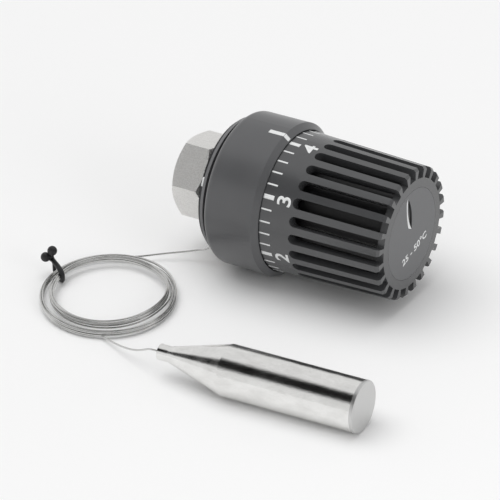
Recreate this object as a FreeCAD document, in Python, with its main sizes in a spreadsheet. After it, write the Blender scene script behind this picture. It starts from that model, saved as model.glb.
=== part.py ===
import FreeCAD, Part
import math
import os
import re
import Sketcher
from FreeCAD import Rotation, Vector

# Thermostat head with a remote sensor, lying on its side on a flat surface.
# Lengths are in millimetres and angles in degrees. Along the head, x runs on
# its axis from the collar's back plane, with the union nut at minus x and the
# dial's end face at plus x. Every piece is then moved so that the part's
# origin lies on the surface, under the middle of the head.

doc = FreeCAD.newDocument("thermostat")
sheet = doc.addObject("Spreadsheet::Sheet", "Sizes")

sizes = {
    # gaps that several pieces share
    "running_gap": 0.08,
    "loose_gap": 0.1,
    "side_gap": 0.3,
    # union nut, M30 x 1.5
    "thread_radius": 14.19,
    "nut_wall": 1.81,
    "nut_length": 14.5,
    "nut_face_inset": 0.4,
    "nut_turn": 23.0,
    "thread_mouth": 1.0,
    "thread_length": 8.0,
    "relief_depth": 0.86,
    "lip_length": 3.2,
    # neck
    "neck_inset": 2.49,
    "neck_tail_past": 2.2,
    "cone_small": 17.2,
    "cone_length": 4.8,
    "cone_step": 1.1,
    "hub_front": -1.6,
    "spigot_wall": 3.5,
    "bush_wall": 2.95,
    "bush_seat_front": -8.6,
    "groove_depth": 1.0,
    "snap_width": 1.2,
    "snap_play": 1.65,
    "snap_split": 5.0,
    # marker rings behind the collar
    "marker_width": 1.2,
    "marker_wall": 7.4,
    "low_marker_step": 1.3,
    "marker_step": 3.7,
    # collar
    "collar_draft": 0.25,
    "bevel_rise": 2.35,
    "bevel_length": 2.2,
    "mouth_place": 25.4,
    "mouth_land": 0.25,
    "collar_back_wall": 2.2,
    "collar_round": 3.0,
    "stop_gap": 1.0,
    "stop_inset": 1.25,
    "collar_stop_angle": 36.0,
    # ring that holds the dial in the collar
    "hold_place": 10.0,
    "hold_width": 1.2,
    "hold_depth": 0.7,
    # guide sleeve and its ring nut
    "sleeve_flange": 2.0,
    "flange_width": 2.8,
    "sleeve_skin": 2.2,
    "sleeve_front": 34.0,
    "key_width": 4.0,
    "key_back": 14.0,
    "key_depth": 1.6,
    "ring_nut_width": 3.0,
    "ring_nut_wall": 4.2,
    "spanner_room": 1.8,
    "ring_nut_notch": 3.0,
    # dial
    "dial_stand": 3.0,
    "dial_play": 0.4,
    "dial_taper": 1.65,
    "dial_end": 79.9,
    "dial_edge": 1.0,
    "dial_wall": 2.4,
    "cage_room": 2.6,
    "cage_shoulder": 0.6,
    "rib_depth": 4.2,
    "end_wall": 3.0,
    "sleeve_wall": 2.2,
    "sleeve_gap": 2.0,
    "slot_count": 24.0,
    "slot_width": 4.4,
    "slot_land": 2.3,
    "slot_sink": 0.4,
    "dial_stop_depth": 1.8,
    "dial_stop_angle": 18.0,
    # cap in the dial's end face
    "cap_lap": 0.4,
    "cap_thick": 1.6,
    "cap_peg_radius": 5.0,
    "cap_peg_length": 4.0,
    "lens_start": 2.6,
    "lens_margin": 1.4,
    "lens_width": 3.0,
    "lens_depth": 0.6,
    "lens_turn": 11.5,
    # capsule carrier
    "carrier_travel": 2.7,
    "carrier_wall": 2.0,
    "carrier_skin": 2.82,
    "carrier_window": 6.0,
    # sensor capsule
    "can_wall": 1.0,
    "cover_thick": 1.5,
    "cover_play": 0.4,
    "clip_thick": 1.2,
    "clip_lap": 0.8,
    "clip_lip": 0.3,
    "clip_depth": 0.7,
    # bellows and the follower at its closed end
    "bellows_depth": 4.9,
    "bellows_play": 1.4,
    "bellows_count": 7.0,
    "bellows_length": 23.0,
    "bellows_skin": 0.4,
    "bellows_room": 5.8,
    "end_plate": 1.5,
    "cup_play": 0.2,
    "cup_wall": 1.0,
    "cup_start": 5.0,
    "cup_lip": 1.2,
    # thrust pin
    "pin_radius": 3.0,
    "pin_gap": 0.05,
    "pin_inset": 0.2,
    "pin_collar": 2.4,
    "pin_head_width": 1.7,
    "pin_stub": 2.4,
    "overtravel_room": 6.0,
    # springs
    "inner_wire": 0.45,
    "inner_spring_gap": 1.7,
    "inner_turns": 5.0,
    "outer_wire": 0.45,
    "spring_room": 2.1,
    "outer_turns": 6.0,
    # gland and capillary
    "gland_back": 2.1,
    "gland_turn": 148.0,
    "gland_foot": 17.5,
    "gland_radius": 2.0,
    "gland_inset": 0.9,
    "capillary_radius": 0.4,
    "inner_pass": 7.2,
    "inner_front": 7.9,
    "port_gap": 0.6,
    # coil of capillary with its tie
    "coil_across": 28.6,
    "coil_stretch": 4.0,
    "coil_band": 5.4,
    "coil_height": 4.6,
    "coil_lift": 0.9,
    "coil_place_along": -27.5,
    "coil_place_side": -60.0,
    "coil_turn": 115.0,
    "tie_turn": 172.5,
    "tie_width": 2.8,
    "tie_skin": 0.75,
    "tie_stem": 0.9,
    "tie_ball": 2.05,
    "low_ball_out": 6.4,
    "low_ball_aside": 1.6,
    "low_ball_rise": 3.9,
    "high_ball_out": 4.6,
    "high_ball_aside": 2.6,
    "high_ball_rise": 6.4,
    # remote sensor
    "sensor_radius": 10.7,
    "sensor_wall": 0.8,
    "sensor_cylinder": 59.5,
    "sensor_cone": 26.0,
    "sensor_neck": 4.6,
    "sensor_neck_radius": 3.3,
    "sensor_cap": 1.4,
    "sensor_cap_spigot": 3.0,
    "sensor_place_along": 22.6,
    "sensor_place_side": -100.6,
    "sensor_turn": 2.9,
}

# sizes and places that follow from a neighbour's and a named wall, gap or step
follows = {
    # from the pin outwards to the collar
    "pin_head": "pin_radius + pin_collar",
    "bush_seat": "pin_radius + pin_gap + bush_wall",
    "cup_radius": "pin_head + cup_play + cup_wall",
    "cover_hole": "cup_radius + cover_play",
    "inner_coil": "pin_stub + inner_spring_gap",
    "bellows_inner": "cup_radius + spring_room",
    "outer_coil": "cup_radius + spring_room / 2",
    "bellows_outer": "bellows_inner + bellows_depth",
    "capillary_port": "bellows_outer + port_gap",
    "can_radius": "bellows_outer + bellows_play + can_wall",
    "clip_inner": "can_radius - clip_lap",
    "sleeve_inner": "can_radius + loose_gap + carrier_skin + running_gap",
    "ring_nut_radius": "sleeve_inner - spanner_room",
    "spigot_radius": "ring_nut_radius - ring_nut_wall",
    "neck_cavity": "spigot_radius - spigot_wall",
    "sleeve_outer": "sleeve_inner + sleeve_skin",
    "key_radius": "sleeve_inner + key_depth",
    "sleeve_flange_radius": "sleeve_outer + flange_width",
    "collar_boss": "sleeve_flange_radius",
    "sleeve_bore": "sleeve_inner",
    "cap_radius": "sleeve_bore + cap_lap",
    "lens_length": "cap_radius - lens_start - lens_margin",
    "cage_radius": "sleeve_outer + cage_room",
    "slot_floor": "cage_radius - slot_sink",
    "dial_end_radius": "cage_radius + rib_depth",
    "dial_radius": "dial_end_radius + dial_taper",
    "stop_inner": "sleeve_flange_radius + stop_gap",
    "stop_outer": "dial_radius - stop_inset",
    "mouth_radius": "dial_radius + dial_play + mouth_land",
    "rim_radius": "mouth_radius + bevel_rise",
    "collar_radius": "rim_radius - collar_draft",
    "high_marker_radius": "collar_radius - marker_step",
    "low_marker_radius": "high_marker_radius - low_marker_step",
    "hub_radius": "low_marker_radius - marker_wall",
    "cone_large": "low_marker_radius - cone_step",
    "gland_tip": "cone_large - gland_inset",
    # nut and neck, across
    "nut_flats": "2 * (thread_radius + nut_wall)",
    "nut_face_radius": "nut_flats / 2 - nut_face_inset",
    "relief_radius": "thread_radius + relief_depth",
    "neck_radius": "thread_radius - neck_inset",
    "groove_radius": "neck_radius - groove_depth",
    "snap_radius": "relief_radius - snap_play",
    # places along the axis, from the collar backwards
    "cone_front": "hub_front - 3 * side_gap - 2 * marker_width",
    "nut_front": "cone_front - cone_length - side_gap",
    "neck_tail": "nut_front - lip_length - neck_tail_past",
    "pin_tip": "neck_tail + pin_inset",
    "gland_place": "cone_front - gland_back",
    # places along the axis, from the collar forwards
    "spigot_front": "collar_back_wall + sleeve_flange + ring_nut_width",
    "carrier_back": "spigot_front + carrier_travel",
    "can_back": "carrier_back + clip_lip + loose_gap + clip_thick + cover_thick",
    "cup_back": "can_back + cup_start",
    "bellows_front": "can_back + bellows_length",
    "carrier_front": "bellows_front + end_plate + bellows_room + can_wall + carrier_wall",
    "pin_front": "bellows_front - overtravel_room",
    "dial_back": "collar_back_wall + dial_stand",
    "rim_place": "mouth_place - bevel_length",
    "sleeve_back": "sleeve_front + sleeve_gap",
    "cage_back": "sleeve_back + cage_shoulder",
    "slot_start": "cage_back + slot_land",
    # coil
    "coil_along": "coil_across + coil_stretch",
}

for row, (word, size) in enumerate(sizes.items(), start=1):
    sheet.set(f"A{row}", word)
    sheet.set(f"B{row}", str(size))
    sheet.setAlias(f"B{row}", word)
for row, (word, formula) in enumerate(follows.items(), start=len(sizes) + 1):
    sheet.set(f"A{row}", word)
    sheet.set(f"B{row}", "=" + formula)
    sheet.setAlias(f"B{row}", word)
    doc.recompute()
doc.recompute()


def link(text):
    """The expression with every size's name pointing into the sheet."""
    def point(found):
        word = found.group(0)
        return "Sizes." + word if word in sizes or word in follows else word
    return re.sub(r"[a-z][a-z_]*", point, text)


def value(text):
    """What an expression of size names comes to now."""
    result = sheet.evalExpression(link(text))
    return float(getattr(result, "Value", result))


# places worked out from the sizes
nut_back = "(nut_front - nut_length)"
middle = "((dial_end + nut_front - nut_length) / 2)"
lip_back = "(nut_front - lip_length)"
low_marker_back = "(cone_front + side_gap)"
high_marker_back = "(cone_front + 2 * side_gap + marker_width)"
marker_bore = "(hub_radius + running_gap)"
carrier_radius = "(sleeve_inner - running_gap)"
can_front = "(carrier_front - carrier_wall)"
cover_back = "(can_back - cover_thick)"
hold_front = "(hold_place + hold_width)"
axis_height = "rim_radius"
pieces = []


def keep(piece, label):
    """Name a finished piece and put it in the part's own frame."""
    piece.Label = label
    piece.setExpression("Placement.Base.x", link(f"-1 * {middle}"))
    piece.setExpression("Placement.Base.z", link(axis_height))
    pieces.append(piece)
    return piece


def plane(body, role):
    return [part for part in body.Origin.OriginFeatures if part.Role == role][0]


def new_sketch(body, name, role):
    sketch = body.newObject("Sketcher::SketchObject", name)
    sketch.AttachmentSupport = [(plane(body, role), "")]
    sketch.MapMode = "FlatFace"
    return sketch


def pin_down(sketch, line, across, up):
    """Fix the start of a line at two expressions; 0 puts it on the sketch's own axis."""
    for kind, text, own_axis in (("DistanceX", across, -2), ("DistanceY", up, -1)):
        if text == "0":
            sketch.addConstraint(Sketcher.Constraint("PointOnObject", line, 1, own_axis))
            continue
        number = sketch.addConstraint(Sketcher.Constraint(kind, -1, 1, line, 1, value(text)))
        sketch.setExpression(f"Constraints[{number}]", link(text))


def draw(sketch, outline):
    """A closed outline of straight lines through (across, up) expressions."""
    spots = [Vector(value(across), value(up), 0) for across, up in outline]
    count = len(spots)
    for number, spot in enumerate(spots):
        sketch.addGeometry(Part.LineSegment(spot, spots[(number + 1) % count]), False)
    for number in range(count):
        sketch.addConstraint(Sketcher.Constraint("Coincident", number, 2, (number + 1) % count, 1))
    for number, (across, up) in enumerate(outline):
        pin_down(sketch, number, across, up)


def turned_body(name, outline):
    """A body turned about the head's axis from an outline of (x, radius)."""
    body = doc.addObject("PartDesign::Body", name + "_body")
    add_turn(body, name, outline, "360")
    return body


def add_turn(body, name, outline, angle):
    """Turn an outline about the axis, half of the angle to each side of the XZ plane."""
    sketch = new_sketch(body, name + "_outline", "XZ_Plane")
    draw(sketch, outline)
    turn = body.newObject("PartDesign::Revolution", name + "_turn")
    turn.Profile = sketch
    turn.ReferenceAxis = (sketch, ["H_Axis"])
    if angle != "360":
        turn.Midplane = True
    turn.setExpression("Angle", link(angle))
    doc.recompute()
    return turn


def round_circles(body, name, radius, circles):
    """Fillet the full circles of a body that lie at given (x, radius) places."""
    base = body.Tip
    shape = base.Shape
    chosen = []
    for number, edge in enumerate(shape.Edges, start=1):
        if not isinstance(edge.Curve, Part.Circle):
            continue
        for x, circle in circles:
            near = abs(edge.Curve.Center.x - value(x)) < 0.001
            if near and abs(edge.Curve.Radius - value(circle)) < 0.001:
                chosen.append(f"Edge{number}")
    fillet = body.newObject("PartDesign::Fillet", name)
    fillet.Base = (base, chosen)
    fillet.setExpression("Radius", link(radius))
    body.Tip = fillet
    doc.recompute()
    return fillet


def cut_around(body, name, outline, low, high, count):
    """Cut an outline on the XY plane between two heights, repeated about the axis."""
    sketch = new_sketch(body, name + "_outline", "XY_Plane")
    sketch.setExpression("AttachmentOffset.Base.z", link(low))
    draw(sketch, outline)
    before = body.Tip.Shape.Volume
    pocket = body.newObject("PartDesign::Pocket", name)
    pocket.Profile = sketch
    pocket.Type = 0
    pocket.Reversed = True
    pocket.setExpression("Length", link(f"{high} - ({low})"))
    doc.recompute()
    if pocket.Shape.Volume > before - 0.01:
        raise RuntimeError(name + " cuts nothing")
    return repeat(body, pocket, name, count)


def repeat(body, feature, name, count):
    pattern = body.newObject("PartDesign::PolarPattern", name + "_around")
    pattern.Originals = [feature]
    pattern.Axis = (plane(body, "X_Axis"), [""])
    pattern.Angle = 360
    pattern.setExpression("Occurrences", link(count))
    body.Tip = pattern
    doc.recompute()
    return pattern


def cylinder(name, radius, length, turn, foot, x):
    """A rod whose axis stands square to the head's axis, turned about it."""
    rod = doc.addObject("Part::Cylinder", name)
    rod.setExpression("Radius", link(radius))
    rod.setExpression("Height", link(length))
    rod.Placement = FreeCAD.Placement(Vector(1, 0, 0), Rotation(Vector(1, 0, 0), value(turn)))
    rod.setExpression("Placement.Rotation.Angle", link(f"{turn} * 1deg"))
    rod.setExpression("Placement.Base.x", link(x))
    rod.setExpression("Placement.Base.y", link(f"-1 * ({foot}) * sin({turn} * 1deg)"))
    rod.setExpression("Placement.Base.z", link(f"({foot}) * cos({turn} * 1deg)"))
    return rod


def less(name, base, tool):
    cut = doc.addObject("Part::Cut", name)
    cut.Base = base
    cut.Tool = tool
    doc.recompute()
    return cut


def both(name, first, second):
    common = doc.addObject("Part::Common", name)
    common.Base = first
    common.Tool = second
    doc.recompute()
    return common


def ring(name, back, front, inner, outer):
    """A plain washer between two places on the axis."""
    return turned_body(name, [(back, inner), (back, outer), (front, outer), (front, inner)])


def split(name, body, x, width, reach):
    """Open a snap ring at its top by a gap of a given width."""
    box = doc.addObject("Part::Box", name + "_gap")
    box.setExpression("Length", link(f"3 * {width}"))
    box.setExpression("Width", link("snap_split"))
    box.setExpression("Height", link(reach))
    box.setExpression("Placement.Base.x", link(f"{x} - {width}"))
    box.setExpression("Placement.Base.y", link("-0.5 * snap_split"))
    return less(name, body, box)


# union nut: a hexagon with both ends bevelled, its thread's wall at the minor
# radius, a relief behind the thread and a lip that the neck passes through
def make_union_nut():
    corner = "(nut_flats / 2 / cos(30deg))"
    bevel = f"(({corner} - nut_face_radius) * tan(30deg))"
    lip_hole = "(neck_radius + running_gap)"
    thread_end = f"({nut_back} + thread_mouth + thread_length)"
    blank = turned_body("nut_blank", [
        (nut_back, "thread_radius + thread_mouth"),
        (nut_back, "nut_face_radius"),
        (f"{nut_back} + {bevel}", corner),
        (f"nut_front - {bevel}", corner),
        ("nut_front", "nut_face_radius"),
        ("nut_front", lip_hole),
        (lip_back, lip_hole),
        (lip_back, "relief_radius"),
        (thread_end, "relief_radius"),
        (thread_end, "thread_radius"),
        (f"{nut_back} + thread_mouth", "thread_radius"),
    ])
    hexagon = doc.addObject("Part::Prism", "nut_hexagon")
    hexagon.Polygon = 6
    hexagon.setExpression("Circumradius", link(corner))
    hexagon.setExpression("Height", link("nut_length"))
    flat = Rotation(Vector(1, 0, 0), value("nut_turn")) * Rotation(Vector(0, 1, 0), 90)
    hexagon.Placement = FreeCAD.Placement(Vector(0, 0, 0), flat)
    hexagon.setExpression("Placement.Base.x", link(nut_back))
    keep(both("union_nut_hex", blank, hexagon), "union_nut")


# neck: the turned stem that carries the head; the nut hangs on its tail, the
# marker rings turn on its hub and its spigot passes through the collar
def make_neck():
    groove_back = f"({lip_back} - side_gap - snap_width - loose_gap)"
    groove_front = f"({lip_back} - side_gap + loose_gap)"
    shoulder = "(nut_front + side_gap)"
    stem = turned_body("neck_stem", [
        ("neck_tail", "bush_seat"),
        ("neck_tail", "neck_radius"),
        (groove_back, "neck_radius"),
        (groove_back, "groove_radius"),
        (groove_front, "groove_radius"),
        (groove_front, "neck_radius"),
        (shoulder, "neck_radius"),
        (shoulder, "cone_small"),
        ("cone_front", "cone_large"),
        ("cone_front", "hub_radius"),
        ("hub_front", "hub_radius"),
        ("hub_front", "spigot_radius"),
        ("spigot_front", "spigot_radius"),
        ("spigot_front", "neck_cavity"),
        ("bush_seat_front", "neck_cavity"),
        ("bush_seat_front", "bush_seat"),
    ])
    seat = cylinder("gland_seat", "gland_radius", "gland_tip", "gland_turn", "gland_foot", "gland_place")
    passage = cylinder("capillary_passage", "capillary_radius + loose_gap", "gland_foot",
                       "gland_turn", "bush_seat", "gland_place")
    bored = less("neck_bored", stem, seat)
    keep(less("neck_drilled", bored, passage), "neck")


def make_nut_ring():
    front = f"({lip_back} - side_gap)"
    back = f"({lip_back} - side_gap - snap_width)"
    blank = ring("nut_ring_blank", back, front, "groove_radius + loose_gap", "snap_radius")
    keep(split("nut_ring_open", blank, back, "snap_width", "2 * snap_radius"), "nut_snap_ring")


def make_marker_rings():
    low = ring("low_marker_blank", low_marker_back, f"{low_marker_back} + marker_width",
               marker_bore, "low_marker_radius")
    keep(low, "low_marker_ring")
    high = ring("high_marker_blank", high_marker_back, f"{high_marker_back} + marker_width",
                marker_bore, "high_marker_radius")
    keep(high, "high_marker_ring")


# collar: a moulded cup with a rounded back edge, a slight flare and a bevel
# round its mouth; a lug on its back wall stops the dial
def make_collar():
    bore = "(mouth_radius - mouth_land)"
    collar = turned_body("collar", [
        ("hub_front", "spigot_radius + loose_gap"),
        ("hub_front", "collar_boss"),
        ("0", "collar_boss"),
        ("0", "collar_radius"),
        ("rim_place", "rim_radius"),
        ("mouth_place", "mouth_radius"),
        ("mouth_place", bore),
        (hold_front, bore),
        (hold_front, f"{bore} + hold_depth"),
        ("hold_place", f"{bore} + hold_depth"),
        ("hold_place", bore),
        ("collar_back_wall", bore),
        ("collar_back_wall", "spigot_radius + loose_gap"),
    ])
    round_circles(collar, "collar_back_round", "collar_round", [("0", "collar_radius")])
    stop_front = "(dial_back - side_gap)"
    add_turn(collar, "collar_stop", [
        ("collar_back_wall - loose_gap", "-1 * stop_inner"),
        (stop_front, "-1 * stop_inner"),
        (stop_front, "-1 * stop_outer"),
        ("collar_back_wall - loose_gap", "-1 * stop_outer"),
    ], "collar_stop_angle")
    keep(collar, "collar")


def make_hold_ring():
    outer = "(mouth_radius - mouth_land + hold_depth - loose_gap)"
    inner = "(dial_radius - hold_depth + side_gap)"
    back = "(hold_place + 0.5 * loose_gap)"
    front = f"({hold_front} - 0.5 * loose_gap)"
    blank = ring("hold_ring_blank", back, front, inner, outer)
    keep(split("hold_ring_open", blank, back, "hold_width", "2 * mouth_radius"), "dial_hold_ring")


# guide sleeve: clamped on the collar's back wall; slots in its tube let the
# capsule carrier slide but not turn
def make_guide_sleeve():
    flange_front = "(collar_back_wall + sleeve_flange)"
    sleeve = turned_body("guide_sleeve", [
        ("collar_back_wall", "spigot_radius + loose_gap"),
        ("collar_back_wall", "sleeve_flange_radius"),
        (flange_front, "sleeve_flange_radius"),
        (flange_front, "sleeve_outer"),
        ("sleeve_front", "sleeve_outer"),
        ("sleeve_front", "sleeve_inner"),
        (flange_front, "sleeve_inner"),
        (flange_front, "spigot_radius + loose_gap"),
    ])
    half = "(key_width / 2 + loose_gap)"
    reach = "(sleeve_front + side_gap)"
    back = "(key_back - 3)"
    cut_around(sleeve, "key_slots", [
        (back, f"-1 * {half}"), (reach, f"-1 * {half}"), (reach, half), (back, half),
    ], "sleeve_inner - 1", "sleeve_outer + 1", "4")
    keep(sleeve, "guide_sleeve")


def make_ring_nut():
    back = "(collar_back_wall + sleeve_flange)"
    front = f"({back} + ring_nut_width)"
    nut = ring("ring_nut", back, front, "spigot_radius", "ring_nut_radius")
    half = "(ring_nut_notch / 2)"
    cut_around(nut, "spanner_notches", [
        (f"{back} - 1", f"-1 * {half}"), (f"{front} + 1", f"-1 * {half}"),
        (f"{front} + 1", half), (f"{back} - 1", half),
    ], "ring_nut_radius - 1.6", "ring_nut_radius + 1", "4")
    keep(nut, "ring_nut")


def make_guide_bush():
    bush = ring("guide_bush", "neck_tail + side_gap", "bush_seat_front", "pin_radius + pin_gap", "bush_seat")
    keep(bush, "guide_bush")


# dial: one moulding with a tapered outside; 24 ribs stand between slots that
# run out through its end rim, and a threaded sleeve inside drives the carrier
def make_dial():
    taper = "((dial_radius - dial_end_radius) / (dial_end - mouth_place))"
    hold_floor = "(dial_radius - hold_depth)"
    groove_back = "(hold_place - side_gap)"
    groove_front = f"({hold_front} + side_gap)"
    skirt_bore = "(dial_radius - dial_wall)"
    edge_radius = f"(dial_end_radius + dial_edge * {taper})"
    wall_back = "(dial_end - end_wall)"
    dial = turned_body("dial", [
        ("dial_back", skirt_bore),
        ("dial_back", "dial_radius"),
        (groove_back, "dial_radius"),
        (groove_back, hold_floor),
        (groove_front, hold_floor),
        (groove_front, "dial_radius"),
        ("mouth_place", "dial_radius"),
        ("dial_end - dial_edge", edge_radius),
        ("dial_end", "dial_end_radius - dial_edge"),
        ("dial_end", "cap_radius + loose_gap"),
        ("dial_end - cap_thick", "cap_radius + loose_gap"),
        ("dial_end - cap_thick", "cap_peg_radius + loose_gap"),
        (wall_back, "cap_peg_radius + loose_gap"),
        (wall_back, "sleeve_bore"),
        ("sleeve_back", "sleeve_bore"),
        ("sleeve_back", "sleeve_bore + sleeve_wall"),
        (wall_back, "sleeve_bore + sleeve_wall"),
        (wall_back, "cage_radius"),
        ("cage_back", "cage_radius"),
        ("sleeve_front", skirt_bore),
    ])
    add_turn(dial, "dial_stop", [
        ("dial_back + loose_gap", "stop_inner"),
        ("dial_back - dial_stop_depth", "stop_inner"),
        ("dial_back - dial_stop_depth", "stop_outer"),
        ("dial_back + loose_gap", "stop_outer"),
    ], "dial_stop_angle")
    cut_slots(dial)
    keep(dial, "dial_knob")


def cut_slots(dial):
    """One slot with a half-round end, cut outwards from its floor, then turned round the dial."""
    half = value("slot_width / 2")
    start = value("slot_start") + half
    reach = value("dial_end") + half
    sketch = new_sketch(dial, "slot_outline", "XY_Plane")
    sketch.setExpression("AttachmentOffset.Base.z", link("slot_floor"))
    sketch.addGeometry(Part.LineSegment(Vector(start, -half, 0), Vector(reach, -half, 0)), False)
    sketch.addGeometry(Part.LineSegment(Vector(reach, -half, 0), Vector(reach, half, 0)), False)
    sketch.addGeometry(Part.LineSegment(Vector(reach, half, 0), Vector(start, half, 0)), False)
    round_end = Part.Circle(Vector(start, 0, 0), Vector(0, 0, 1), half)
    sketch.addGeometry(Part.ArcOfCircle(round_end, math.pi / 2, 1.5 * math.pi), False)
    for number in range(3):
        sketch.addConstraint(Sketcher.Constraint("Coincident", number, 2, number + 1, 1))
    sketch.addConstraint(Sketcher.Constraint("Coincident", 3, 2, 0, 1))
    pin_down(sketch, 0, "slot_start + slot_width / 2", "-0.5 * slot_width")
    pin_down(sketch, 1, "dial_end + slot_width / 2", "-0.5 * slot_width")
    pin_down(sketch, 2, "dial_end + slot_width / 2", "0.5 * slot_width")
    pin_down(sketch, 3, "slot_start + slot_width / 2", "0.5 * slot_width")
    centre = sketch.addConstraint(Sketcher.Constraint("DistanceX", -1, 1, 3, 3, start))
    sketch.setExpression(f"Constraints[{centre}]", link("slot_start + slot_width / 2"))
    before = dial.Tip.Shape.Volume
    slot = dial.newObject("PartDesign::Pocket", "slot")
    slot.Profile = sketch
    slot.Type = 0
    slot.Reversed = True
    slot.setExpression("Length", link("dial_radius - slot_floor + 1"))
    doc.recompute()
    if slot.Shape.Volume > before - 1:
        raise RuntimeError("the slot cuts nothing")
    repeat(dial, slot, "slots", "slot_count")


# cap: a disc with a peg, and a shallow lens-shaped recess where two arcs meet
def make_cap():
    back = "(dial_end - cap_thick)"
    cap = turned_body("cap_disc", [
        (back, "cap_peg_radius"),
        (back, "cap_radius"),
        ("dial_end", "cap_radius"),
        ("dial_end", "0"),
        ("dial_end - cap_thick - cap_peg_length", "0"),
        ("dial_end - cap_thick - cap_peg_length", "cap_peg_radius"),
    ])
    arc_radius = "((lens_length * lens_length / 4 + lens_width * lens_width / 4) / lens_width)"
    halves = []
    for side, name in ((1, "lens_left"), (-1, "lens_right")):
        rod = doc.addObject("Part::Cylinder", name)
        rod.setExpression("Radius", link(arc_radius))
        rod.setExpression("Height", link("2 * lens_depth"))
        rod.Placement = FreeCAD.Placement(Vector(0, 0, 0), Rotation(Vector(0, 1, 0), 90))
        rod.setExpression("Placement.Base.y", link(f"{side} * ({arc_radius} - lens_width / 2)"))
        halves.append(rod)
    lens = both("lens", halves[0], halves[1])
    lens.Placement = FreeCAD.Placement(Vector(1, 0, 0), Rotation(Vector(1, 0, 0), value("lens_turn")))
    along = "(lens_start + lens_length / 2)"
    lens.setExpression("Placement.Rotation.Angle", link("lens_turn * 1deg"))
    lens.setExpression("Placement.Base.x", link("dial_end - lens_depth"))
    lens.setExpression("Placement.Base.y", link(f"-1 * {along} * sin(lens_turn * 1deg)"))
    lens.setExpression("Placement.Base.z", link(f"{along} * cos(lens_turn * 1deg)"))
    keep(less("cap_with_lens", cap, lens), "dial_cap")


# carrier: slides in the guide sleeve on four keys and screws into the dial's
# sleeve in front; the sensor capsule sits inside it
def make_carrier():
    inner = "(can_radius + loose_gap)"
    groove_front = f"({cover_back} + 0)"
    groove_back = f"({cover_back} - clip_thick - loose_gap)"
    carrier = turned_body("carrier", [
        ("carrier_back", inner),
        ("carrier_back", carrier_radius),
        ("carrier_front", carrier_radius),
        ("carrier_front", "carrier_window"),
        (can_front, "carrier_window"),
        (can_front, inner),
        (groove_front, inner),
        (groove_front, f"{inner} + clip_depth"),
        (groove_back, f"{inner} + clip_depth"),
        (groove_back, inner),
    ])
    sketch = new_sketch(carrier, "key_outline", "XY_Plane")
    sketch.setExpression("AttachmentOffset.Base.z", link("can_radius + 1"))
    front = "(sleeve_front - 6)"
    half = "(key_width / 2)"
    draw(sketch, [("key_back", f"-1 * {half}"), (front, f"-1 * {half}"), (front, half), ("key_back", half)])
    key = carrier.newObject("PartDesign::Pad", "key")
    key.Profile = sketch
    key.setExpression("Length", link("key_radius - can_radius - 1"))
    doc.recompute()
    repeat(carrier, key, "keys", "4")
    keep(carrier, "capsule_carrier")


def make_capsule():
    can = turned_body("can", [
        ("can_back", "can_radius - can_wall"),
        ("can_back", "can_radius"),
        (can_front, "can_radius"),
        (can_front, "0"),
        (f"{can_front} - can_wall", "0"),
        (f"{can_front} - can_wall", "can_radius - can_wall"),
    ])
    keep(can, "capsule_can")
    cover = ring("cover_blank", cover_back, "can_back", "cover_hole", "can_radius")
    port = doc.addObject("Part::Cylinder", "capillary_port_drill")
    port.setExpression("Radius", link("capillary_radius + loose_gap"))
    port.setExpression("Height", link("3 * cover_thick"))
    port.Placement = FreeCAD.Placement(Vector(0, 0, 0), Rotation(Vector(0, 1, 0), 90))
    port.setExpression("Placement.Base.x", link(f"{cover_back} - cover_thick"))
    port.setExpression("Placement.Base.y", link("-1 * capillary_port * sin(gland_turn * 1deg)"))
    port.setExpression("Placement.Base.z", link("capillary_port * cos(gland_turn * 1deg)"))
    keep(less("cover_drilled", cover, port), "capsule_cover")
    clip_back = f"({cover_back} - clip_thick)"
    outer = "(can_radius + clip_depth)"
    clip = ring("clip_blank", clip_back, cover_back, "clip_inner", outer)
    keep(split("clip_open", clip, clip_back, "clip_thick", "2 * can_radius"), "capsule_clip")


# bellows: thin convolutions between the cover and the follower's end plate
def make_bellows():
    count = round(value("bellows_count"))
    pitch = f"((bellows_front - can_back) / {count})"
    outer_side = []
    inner_side = []
    for number in range(count):
        for share, crest in ((0.0, False), (0.25, False), (0.5, True), (0.75, True)):
            place = f"(can_back + {pitch} * {number + share})"
            radius = "bellows_outer" if crest else "bellows_inner"
            outer_side.append((place, radius))
            inner_side.append((place, f"{radius} - bellows_skin"))
    outer_side.append(("bellows_front", "bellows_inner"))
    inner_side.append(("bellows_front", "bellows_inner - bellows_skin"))
    keep(turned_body("bellows", outer_side + inner_side[::-1]), "bellows")


def make_follower():
    plate_front = "(bellows_front + end_plate)"
    plate = turned_body("plate", [
        ("bellows_front", "0"), ("bellows_front", "bellows_inner + 2"),
        (plate_front, "bellows_inner + 2"), (plate_front, "0"),
    ])
    keep(plate, "bellows_end_plate")
    lip_front = "(cup_back + cup_lip)"
    cup = turned_body("cup", [
        ("cup_back", "pin_radius + loose_gap"),
        ("cup_back", "cup_radius"),
        ("bellows_front", "cup_radius"),
        ("bellows_front", "cup_radius - cup_wall"),
        (lip_front, "cup_radius - cup_wall"),
        (lip_front, "pin_radius + loose_gap"),
    ])
    keep(cup, "overtravel_cup")


def make_pin():
    head_back = "(cup_back + cup_lip + loose_gap)"
    head_front = f"({head_back} + pin_head_width)"
    pin = turned_body("pin", [
        ("pin_tip", "0"),
        ("pin_tip", "pin_radius - 0.5"),
        ("pin_tip + 0.5", "pin_radius"),
        (head_back, "pin_radius"),
        (head_back, "pin_head"),
        (head_front, "pin_head"),
        (head_front, "pin_stub"),
        ("pin_front", "pin_stub"),
        ("pin_front", "0"),
    ])
    keep(pin, "thrust_pin")


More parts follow.
